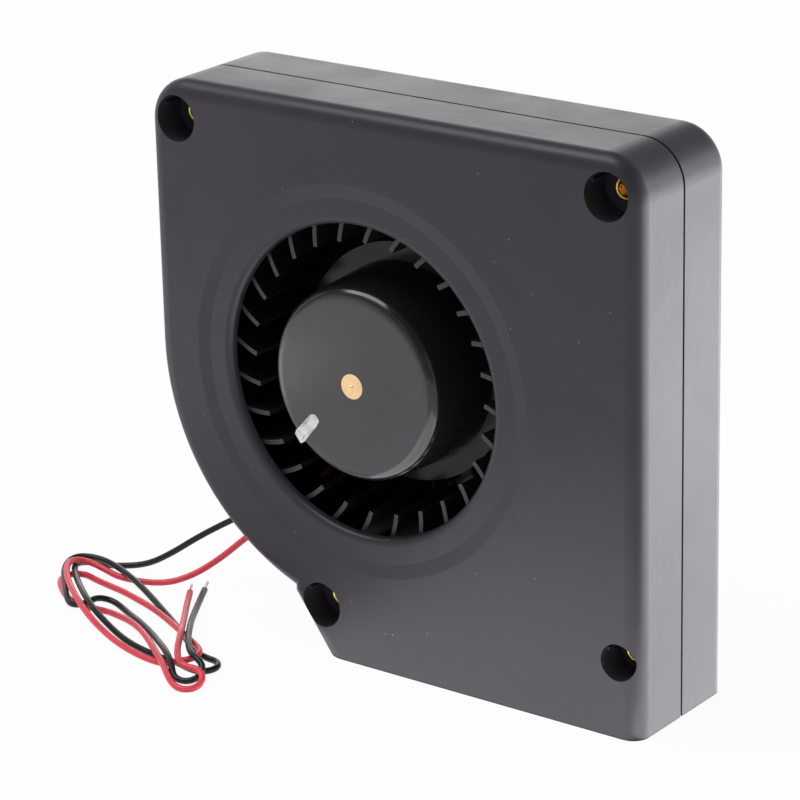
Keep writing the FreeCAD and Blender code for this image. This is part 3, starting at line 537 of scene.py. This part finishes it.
# Leads
# A red and a black lead of stranded copper in soft PVC leave the slot beside the motor, fall to the table
# and lie in loose loops. Their ends are stripped, and the tinned strands are twisted together. The routes
# are x, y and z in millimetres, and all other sizes metres.
LEAD_DIAMETER = 0.0014
RED_LENGTH = 0.320
BLACK_LENGTH = 0.3355
RED_ROUTE = (
    (-42.6, 13.4, 22.96),
    (-46, 13.4, 19.3),
    (-51.0, 10.2, 15.2),
    (-55.7, 6.4, 10.9),
    (-60.0, 2.3, 6.2),
    (-64.6, -2.2, 2.6),
    (-69.7, -6.2, 0.9),
    (-79.4, -8.6, 0.9),
    (-84.1, -8.4, 1.8),
    (-87.5, -8.8, 2.8),
    (-90.0, -10.1, 3.5),
    (-90.6, -12.9, 4.0),
    (-88.4, -16.5, 3.8),
    (-83.7, -21.0, 3.6),
    (-78.8, -24.9, 3.5),
    (-73.3, -28.7, 3.2),
    (-68.0, -31.8, 2.7),
    (-63.2, -34.0, 2.1),
    (-58.2, -36.0, 1.6),
    (-53.7, -37.4, 1.3),
    (-49.1, -38.3, 1.0),
    (-45.3, -38.6, 0.8),
    (-41.8, -38.5, 0.8),
    (-38.6, -38.1, 2.0),
    (-36.5, -36.6, 2.4),
    (-36.1, -34.0, 2.5),
    (-38.0, -31.4, 2.4),
    (-41.8, -29.2, 2.3),
    (-45.8, -27.0, 2.3),
    (-51.0, -24.1, 2.0),
    (-57.1, -21.0, 1.9),
    (-62.5, -18.7, 1.8),
    (-67.8, -16.8, 1.6),
    (-73.4, -14.9, 1.4),
    (-79.0, -13.5, 1.1),
    (-84.0, -12.2, 0.9),
    (-87.7, -11.0, 0.8),
    (-90.2, -12.2, 0.8),
    (-91.0, -14.8, 0.8),
    (-89.5, -17.6, 0.8),
    (-85.8, -20.8, 0.8),
    (-82.1, -23.3, 0.8),
    (-78.5, -24.6, 0.8),
    (-75.2, -24.7, 0.8),
    (-72.2, -24.6, 0.9),
    (-68.8, -24.8, 1.2),
    (-64.5, -25.9, 1.5),
    (-59.9, -27.6, 1.9),
    (-54.8, -30.3, 2.2),
    (-49.5, -34.1, 2.5),
    (-44.2, -38.0, 2.4),
    (-39.5, -41.4, 2.2),
    (-35.6, -44.6, 1.7),
    (-32.6, -46.3, 1.1),
    (-30.6, -46.3, 0.8),
    (-29.1, -45.3, 0.8),
    (-28.3, -43.8, 1.1),
    (-28.5, -42.2, 1.7),
    (-29.4, -41.0, 2.4),
    (-31.0, -40.5, 3.0),
    (-32.7, -40.8, 3.1),
    (-34.3, -41.0, 3.2),
    (-36.4, -40.2, 3.6),
    (-39.0, -37.5, 4.0),
    (-41.8, -33.5, 4.4),
    (-45.2, -28.4, 4.6),
    (-53.7, -17.4, 1.9),
    (-57.8, -12.0, 1.0),
    (-61.9, -6.0, 0.8),
)
BLACK_ROUTE = (
    (-43.99, 13.4, 24.25),
    (-47.4, 13.4, 20.6),
    (-54.4, 11.4, 17.0),
    (-61.0, 7.9, 13.3),
    (-67.6, 4.3, 9.1),
    (-73.4, 1.7, 4.7),
    (-79.2, -0.4, 1.3),
    (-86.0, -4.1, 0.8),
    (-88.5, -4.2, 0.8),
    (-91.2, -5.1, 0.9),
    (-92.3, -7.8, 1.5),
    (-90.6, -11.5, 2.3),
    (-84.6, -17.5, 3.2),
    (-78.8, -22.5, 3.7),
    (-73.5, -26.5, 3.8),
    (-68.7, -29.4, 3.2),
    (-64.6, -31.1, 2.4),
    (-60.0, -33.0, 1.7),
    (-55.3, -34.6, 1.2),
    (-50.9, -35.5, 0.9),
    (-46.9, -36.1, 0.8),
    (-42.9, -36.6, 0.8),
    (-39.5, -36.5, 0.8),
    (-36.0, -37.6, 0.8),
    (-33.2, -37.5, 0.8),
    (-31.5, -35.7, 0.8),
    (-31.5, -33.3, 0.8),
    (-33.4, -31.4, 0.8),
    (-36.7, -31.3, 0.8),
    (-41.0, -29.8, 0.8),
    (-45.4, -26.7, 0.8),
    (-49.9, -23.6, 0.9),
    (-54.2, -21.0, 1.1),
    (-59.8, -17.8, 1.4),
    (-65.7, -14.5, 1.8),
    (-71.5, -11.5, 2.2),
    (-77.1, -8.9, 2.5),
    (-82.8, -6.7, 2.6),
    (-87.3, -5.9, 2.8),
    (-90.6, -6.7, 3.0),
    (-92.5, -8.3, 3.1),
    (-92.8, -11.0, 2.8),
    (-90.8, -14.6, 2.4),
    (-86.6, -19.1, 2.3),
    (-82.1, -23.8, 2.2),
    (-78.8, -26.6, 1.7),
    (-76.7, -27.1, 1.8),
    (-75.0, -26.4, 2.1),
    (-74.0, -24.9, 2.6),
    (-73.9, -22.8, 2.6),
    (-72.6, -21.0, 2.0),
    (-70.2, -20.6, 1.4),
    (-65.4, -22.6, 1.0),
    (-59.7, -25.7, 1.6),
    (-53.7, -29.1, 1.9),
    (-48.0, -33.0, 2.4),
    (-42.3, -37.1, 3.0),
    (-38.1, -40.5, 2.5),
    (-35.8, -42.8, 1.3),
    (-33.8, -43.2, 0.8),
    (-31.9, -42.5, 0.8),
    (-30.9, -40.9, 1.2),
    (-30.9, -39.2, 2.0),
    (-32.0, -37.9, 3.0),
    (-33.9, -37.6, 3.9),
    (-36.9, -36.0, 4.0),
    (-41.0, -31.6, 4.1),
    (-45.5, -25.5, 3.8),
    (-50.7, -18.6, 1.9),
    (-55.8, -10.6, 1.0),
    (-60.1, -3.2, 0.8),
)
STRAND_LENGTH = 0.0045
STRAND_R = 0.000105
STRAND_RING_R = 0.00019
STRAND_COUNT = 6
STRAND_TWIST = 4.2
STRAND_STEPS = 14


def insulated_lead(name, route, material):
    """A tube along a smooth line whose control points are the route's."""
    curve = bpy.data.curves.new(name, "CURVE")
    curve.dimensions = "3D"
    curve.bevel_depth = LEAD_DIAMETER / 2
    curve.bevel_resolution = 5
    curve.resolution_u = 8
    curve.use_fill_caps = True
    line = curve.splines.new("NURBS")
    line.points.add(len(route) - 1)
    for point, place in zip(line.points, route):
        point.co = (*[step / MM_PER_METRE for step in place], 1.0)
    line.order_u = 3
    line.use_endpoint_u = True
    curve.materials.append(material)
    lead = bpy.data.objects.new(name, curve)
    bpy.context.scene.collection.objects.link(lead)
    return lead


def bare_strands(name, route, material):
    """Twisted strands in line with the lead's last run, one in the middle and six round it. Each is a small
    disc carried along the axis as it turns."""
    shape = bmesh.new()
    for number in range(STRAND_COUNT + 1):
        offset = STRAND_RING_R if number else 0.0
        turn = Matrix.Rotation(2 * math.pi * number / STRAND_COUNT, 4, "Z")
        made = bmesh.ops.create_circle(
            shape,
            segments=8,
            radius=STRAND_R,
            cap_ends=True,
            matrix=turn @ Matrix.Translation((offset, 0, 0)),
        )["verts"]
        disc = list({face for vert in made for face in vert.link_faces})
        bmesh.ops.spin(
            shape,
            geom=disc,
            cent=(0, 0, 0),
            axis=(0, 0, 1),
            dvec=(0, 0, STRAND_LENGTH / STRAND_STEPS),
            angle=STRAND_TWIST,
            steps=STRAND_STEPS,
            use_merge=False,
            use_normal_flip=False,
            use_duplicate=False,
        )
    end = Vector(route[-1]) / MM_PER_METRE
    way = end - Vector(route[-2]) / MM_PER_METRE
    place = Matrix.Translation(end) @ way.to_track_quat("Z", "Y").to_matrix().to_4x4()
    bmesh.ops.transform(shape, matrix=place, verts=shape.verts)
    return add_piece(name, shape, material)


red_insulation = worn_surface(
    "red_insulation",
    dark=(0.66, 0.036, 0.060),
    light=(0.80, 0.055, 0.088),
    rough=(0.28, 0.42),
    grain=1200.0,
    clouds=150.0,
    depth=0.00001,
)
black_insulation = worn_surface(
    "black_insulation",
    dark=(0.008, 0.008, 0.009),
    light=(0.018, 0.018, 0.019),
    rough=(0.26, 0.40),
    grain=1200.0,
    clouds=150.0,
    depth=0.00001,
    Specular_IOR_Level=0.36,
)
dress(red_insulation, "red_lead_inside")
dress(black_insulation, "black_lead_inside")

LEADS = (
    ("red", RED_ROUTE, red_insulation, RED_LENGTH, ("red_lead", "red_lead_tail")),
    ("black", BLACK_ROUTE, black_insulation, BLACK_LENGTH, ("black_lead", "black_lead_tail", "lead_hank")),
)
for colour, route, insulation, length, solids in LEADS:
    strands = bare_strands(f"{colour}_twisted_strands", route, tinned_copper)
    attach(strands, "housing")
    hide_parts(f"{colour}_lead_strands")
    lead = insulated_lead(f"{colour}_insulated_lead", route, insulation)
    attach(lead, "housing")
    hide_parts(*solids)

# Floor and light
# A white table top in a white room, both white to the camera. The room darkens overhead and, in reflections,
# towards the front. Four panels lie on the table behind, beside and before the fan and shine upwards, and
# four soft lamps stand or hang round it.
TABLE_RADIUS = 3.0
TABLE_GLOW = 0.95


def largest(tree, value, *others):
    for other in others:
        value = calculate(tree, "MAXIMUM", value, other)
    return value


def table_top():
    """Matt white under a white glow that only the camera, reflections and glass see. What the glow leaves
    shows the fan's shadow."""
    shape = bmesh.new()
    bmesh.ops.create_circle(shape, cap_ends=True, segments=96, radius=TABLE_RADIUS)
    material = bpy.data.materials.new("table_top")
    material.use_nodes = True
    tree = material.node_tree
    shader = tree.nodes["Principled BSDF"]
    shader.inputs["Base Color"].default_value = (0.86, 0.86, 0.86, 1.0)
    shader.inputs["Roughness"].default_value = 0.7
    shader.inputs["Specular IOR Level"].default_value = 0.1
    glow = add_node(tree, "ShaderNodeEmission", {"Color": (1, 1, 1, 1), "Strength": 1.0}).outputs["Emission"]
    ray = add_node(tree, "ShaderNodeLightPath").outputs
    seen = largest(tree, ray["Is Camera Ray"], ray["Is Glossy Ray"], ray["Is Transmission Ray"])
    share = calculate(tree, "MULTIPLY", seen, TABLE_GLOW)
    mixed = add_node(tree, "ShaderNodeMixShader", {0: share, 1: shader.outputs["BSDF"], 2: glow})
    tree.links.new(mixed.outputs["Shader"], tree.nodes["Material Output"].inputs["Surface"])
    return add_piece("table_top", shape, material, smooth=False)


ROOM_LIGHT = 0.65
ROOM_TOP_LIGHT = 0.30
FRONT_ROOM_SHARE = 0.30


def white_room():
    """White to the camera and through glass, and dimmer for the light that it throws and for reflections."""
    world = bpy.data.worlds.new("white_room")
    bpy.context.scene.world = world
    world.use_nodes = True
    tree = world.node_tree
    back = tree.nodes["Background"]
    back.inputs["Color"].default_value = (1, 1, 1, 1)
    ray = add_node(tree, "ShaderNodeLightPath").outputs
    direction = add_node(tree, "ShaderNodeTexCoord").outputs["Generated"]
    way = add_node(tree, "ShaderNodeSeparateXYZ", {"Vector": direction}).outputs
    thrown = band(tree, way["Z"], start=0.38, end=0.75, at_start=ROOM_LIGHT, at_end=ROOM_TOP_LIGHT)
    upward = band(tree, way["Z"], start=0.38, end=0.55, at_start=1.0, at_end=ROOM_TOP_LIGHT)
    backward = band(tree, way["Y"], start=-0.30, end=0.10, at_start=FRONT_ROOM_SHARE, at_end=1.0)
    mirrored = calculate(tree, "MULTIPLY", upward, backward)
    lit = add_node(
        tree,
        "ShaderNodeMix",
        {"Factor": ray["Is Glossy Ray"], "A": thrown, "B": mirrored},
        data_type="FLOAT",
    ).outputs["Result"]
    strength = largest(tree, lit, ray["Is Camera Ray"], ray["Is Transmission Ray"])
    tree.links.new(strength, back.inputs["Strength"])


def soft_lamp(name, place, target, width, height, power):
    data = bpy.data.lights.new(name, "AREA")
    data.shape = "RECTANGLE"
    data.size = width
    data.size_y = height
    data.energy = power
    lamp = bpy.data.objects.new(name, data)
    lamp.location = place
    lamp.rotation_euler = (Vector(target) - Vector(place)).to_track_quat("-Z", "Y").to_euler()
    lamp.visible_camera = False
    bpy.context.scene.collection.objects.link(lamp)


PANEL_Z = 0.0001


def table_panel(name, across, along, width, height, power):
    """A soft lamp that lies on the table, round the point across and along, and looks straight up."""
    soft_lamp(name, (across, along, PANEL_Z), (across, along, 1.0), width, height, power)


floor = table_top()
white_room()
table_panel("back_right_panel", 0.535, 0.42, width=0.81, height=0.86, power=11.6)
table_panel("right_panel", 0.095, 0.20, width=0.07, height=0.44, power=0.40)
table_panel("front_panel", 0.037, -0.0627, width=0.126, height=0.0956, power=0.067)
table_panel("front_left_panel", -0.21, -0.115, width=0.16, height=0.11, power=0.085)
soft_lamp("overhead_softbox", (-0.40, -0.24, 0.95), (-0.40, -0.24, 0.0), width=0.80, height=0.44, power=5.6)
soft_lamp("back_left_panel", (-0.9, 1.1, 0.45), (0, 0, 0.08), width=0.8, height=0.4, power=1.9)
soft_lamp("back_right_softbox", (0.90, 1.15, 0.30), (0, 0, 0.08), width=0.9, height=0.5, power=3.5)
soft_lamp("front_fill", (-0.5, -1.5, 0.9), (0, 0, 0.05), width=3.0, height=2.4, power=6.8)

# Camera
# In front of the right side and above, as in the photograph. It was fitted to the fan's corner holes and
# edges, and its own axes are given in the shared frame.
CAMERA_RIGHT = (0.8027647, 0.5959084, -0.02149447)
CAMERA_UP = (-0.18523411, 0.28347308, 0.94092047)
CAMERA_BACK = (0.56679552, -0.75135623, 0.33794475)
CAMERA_PLACE = (0.40358832823, -0.54552883859, 0.29947271117)
LENS_MM = 159.067
SENSOR_WIDTH_MM = 36.0

camera_data = bpy.data.cameras.new("camera")
camera_data.lens = LENS_MM
camera_data.sensor_width = SENSOR_WIDTH_MM
camera_data.clip_start = 0.01
camera = bpy.data.objects.new("camera", camera_data)
axes = Matrix((CAMERA_RIGHT, CAMERA_UP, CAMERA_BACK)).transposed().to_4x4()
camera.matrix_world = Matrix.Translation(CAMERA_PLACE) @ axes
bpy.context.scene.collection.objects.link(camera)
bpy.context.scene.camera = camera
bpy.context.scene.view_settings.view_transform = "Standard"
